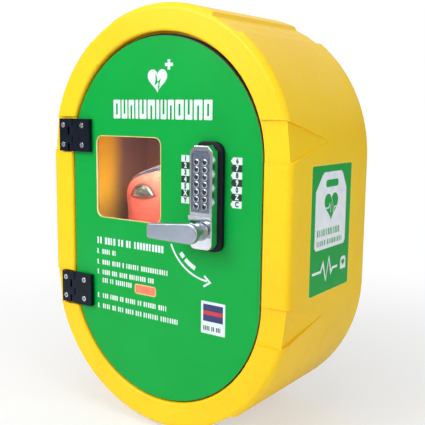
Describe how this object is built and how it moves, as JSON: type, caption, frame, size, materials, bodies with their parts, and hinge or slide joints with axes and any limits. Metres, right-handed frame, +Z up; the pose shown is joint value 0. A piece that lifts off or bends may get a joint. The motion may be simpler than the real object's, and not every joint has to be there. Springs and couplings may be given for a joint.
{
  "type": "outdoor defibrillator cabinet",
  "caption": "Racetrack-shaped wall cabinet with a hinged windowed door, push-button lock with lever, and a defibrillator in a padded case on an inner shelf.",
  "frame": {"origin": "centre of the flat back face that lies on the wall", "axes": "+Y into the wall, +Z up, +X to the right of somebody facing the door"},
  "size_m": [0.4376, 0.2845, 0.6236],
  "materials": {
    "shell_yellow": "moulded, semi-matt",
    "door_green": "satin printed film on aluminium",
    "clear_pane": "clear polycarbonate",
    "foam_gasket": "closed-cell foam",
    "chrome_cast": "polished",
    "satin_chrome": "satin",
    "key_metal": "satin, dark",
    "black_plastic": "fine texture",
    "black_rubber": "matt",
    "stainless": "bright",
    "zinc_steel": "zinc plated",
    "white_plastic": "satin",
    "grey_plastic": "satin",
    "heater_film": "silicone mat",
    "case_fabric": "woven nylon over foam",
    "webbing": "ribbed webbing",
    "aed_shell": "fine texture",
    "aed_rear": "fine texture",
    "signal_green": "gloss",
    "signal_orange": "gloss"
  },
  "bodies": {
    "cabinet": {"body_shell": "shell_yellow", "back_plate": "zinc_steel", "cabinet_screws": "stainless", "door_seal": "black_rubber", "shelf": "zinc_steel", "heater_plate": "heater_film", "thermostat": "white_plastic", "led_light": "white_plastic", "power_supply": "grey_plastic", "cable_grommet": "black_rubber", "internal_wiring": "black_rubber", "strike_plate": "stainless", "reed_switch": "white_plastic", "hinge_frame_leaves": "black_plastic", "hinge_pins": "stainless", "hinge_frame_screws": "stainless"},
    "door": {"door_panel": "door_green", "window_pane": "clear_pane", "window_gasket": "foam_gasket", "hinge_door_leaves": "black_plastic", "hinge_door_screws": "stainless", "lock_body": "chrome_cast", "lock_base": "black_rubber", "code_chamber": "zinc_steel", "lock_inner_plate": "stainless", "lock_fixings": "stainless", "latch_case": "zinc_steel", "latch_cover": "zinc_steel", "latch_spring": "stainless", "door_magnet": "zinc_steel"},
    "lever": {"lever_handle": "satin_chrome", "spindle": "zinc_steel", "latch_follower": "zinc_steel"},
    "bolt": {"latch_bolt": "stainless"},
    "button_1": {"key_1": "key_metal"},
    "button_2": {"key_2": "key_metal"},
    "button_3": {"key_3": "key_metal"},
    "button_4": {"key_4": "key_metal"},
    "button_5": {"key_5": "key_metal"},
    "button_X": {"key_X": "key_metal"},
    "button_Y": {"key_Y": "key_metal"},
    "button_6": {"key_6": "key_metal"},
    "button_7": {"key_7": "key_metal"},
    "button_8": {"key_8": "key_metal"},
    "button_9": {"key_9": "key_metal"},
    "button_0": {"key_0": "key_metal"},
    "button_Z": {"key_Z": "key_metal"},
    "button_C": {"key_C": "key_metal"},
    "defibrillator": {"carry_case": "case_fabric", "case_window": "clear_pane", "case_strap": "webbing", "aed_front_housing": "aed_shell", "aed_rear_housing": "aed_rear", "aed_battery": "grey_plastic", "pads_cartridge": "white_plastic", "status_light": "signal_green"},
    "shock": {"shock_button": "signal_orange"},
    "power": {"power_button": "signal_green"}
  },
  "joints": [
    {"name": "case_lift", "type": "slide", "parent": "cabinet", "child": "defibrillator", "axis": [0, 0, 1], "range_m": [0, 0.06]},
    {"name": "door_swing", "type": "hinge", "parent": "cabinet", "child": "door", "pos_m": [-0.1713, -0.2335, 0], "axis": [0, 0, -1], "range_deg": [0, 110]},
    {"name": "handle_turn", "type": "hinge", "parent": "door", "child": "lever", "pos_m": [0.089, -0.25, 0], "axis": [0, -1, 0], "range_deg": [0, 65]},
    {"name": "latch_slide", "type": "slide", "parent": "door", "child": "bolt", "axis": [-1, 0, 0], "range_m": [0, 0.0124], "deforming": ["latch_spring"]},
    {"name": "press_power", "type": "slide", "parent": "defibrillator", "child": "power", "axis": [0, 1, 0], "range_m": [0, 0.002]},
    {"name": "press_shock", "type": "slide", "parent": "defibrillator", "child": "shock", "axis": [0, 1, 0], "range_m": [0, 0.002]},
    {"name": "push_key_1", "type": "slide", "parent": "door", "child": "button_1", "axis": [0, 1, 0], "range_m": [0, 0.002]},
    {"name": "push_key_2", "type": "slide", "parent": "door", "child": "button_2", "axis": [0, 1, 0], "range_m": [0, 0.002]},
    {"name": "push_key_3", "type": "slide", "parent": "door", "child": "button_3", "axis": [0, 1, 0], "range_m": [0, 0.002]},
    {"name": "push_key_4", "type": "slide", "parent": "door", "child": "button_4", "axis": [0, 1, 0], "range_m": [0, 0.002]},
    {"name": "push_key_5", "type": "slide", "parent": "door", "child": "button_5", "axis": [0, 1, 0], "range_m": [0, 0.002]},
    {"name": "push_key_X", "type": "slide", "parent": "door", "child": "button_X", "axis": [0, 1, 0], "range_m": [0, 0.002]},
    {"name": "push_key_Y", "type": "slide", "parent": "door", "child": "button_Y", "axis": [0, 1, 0], "range_m": [0, 0.002]},
    {"name": "push_key_6", "type": "slide", "parent": "door", "child": "button_6", "axis": [0, 1, 0], "range_m": [0, 0.002]},
    {"name": "push_key_7", "type": "slide", "parent": "door", "child": "button_7", "axis": [0, 1, 0], "range_m": [0, 0.002]},
    {"name": "push_key_8", "type": "slide", "parent": "door", "child": "button_8", "axis": [0, 1, 0], "range_m": [0, 0.002]},
    {"name": "push_key_9", "type": "slide", "parent": "door", "child": "button_9", "axis": [0, 1, 0], "range_m": [0, 0.002]},
    {"name": "push_key_0", "type": "slide", "parent": "door", "child": "button_0", "axis": [0, 1, 0], "range_m": [0, 0.002]},
    {"name": "push_key_Z", "type": "slide", "parent": "door", "child": "button_Z", "axis": [0, 1, 0], "range_m": [0, 0.002]},
    {"name": "push_key_C", "type": "slide", "parent": "door", "child": "button_C", "axis": [0, 1, 0], "range_m": [0, 0.002]}
  ],
  "couplings": [
    {"joint": "latch_slide", "follows": "handle_turn", "m_per_rad": 0.01092}
  ]
}
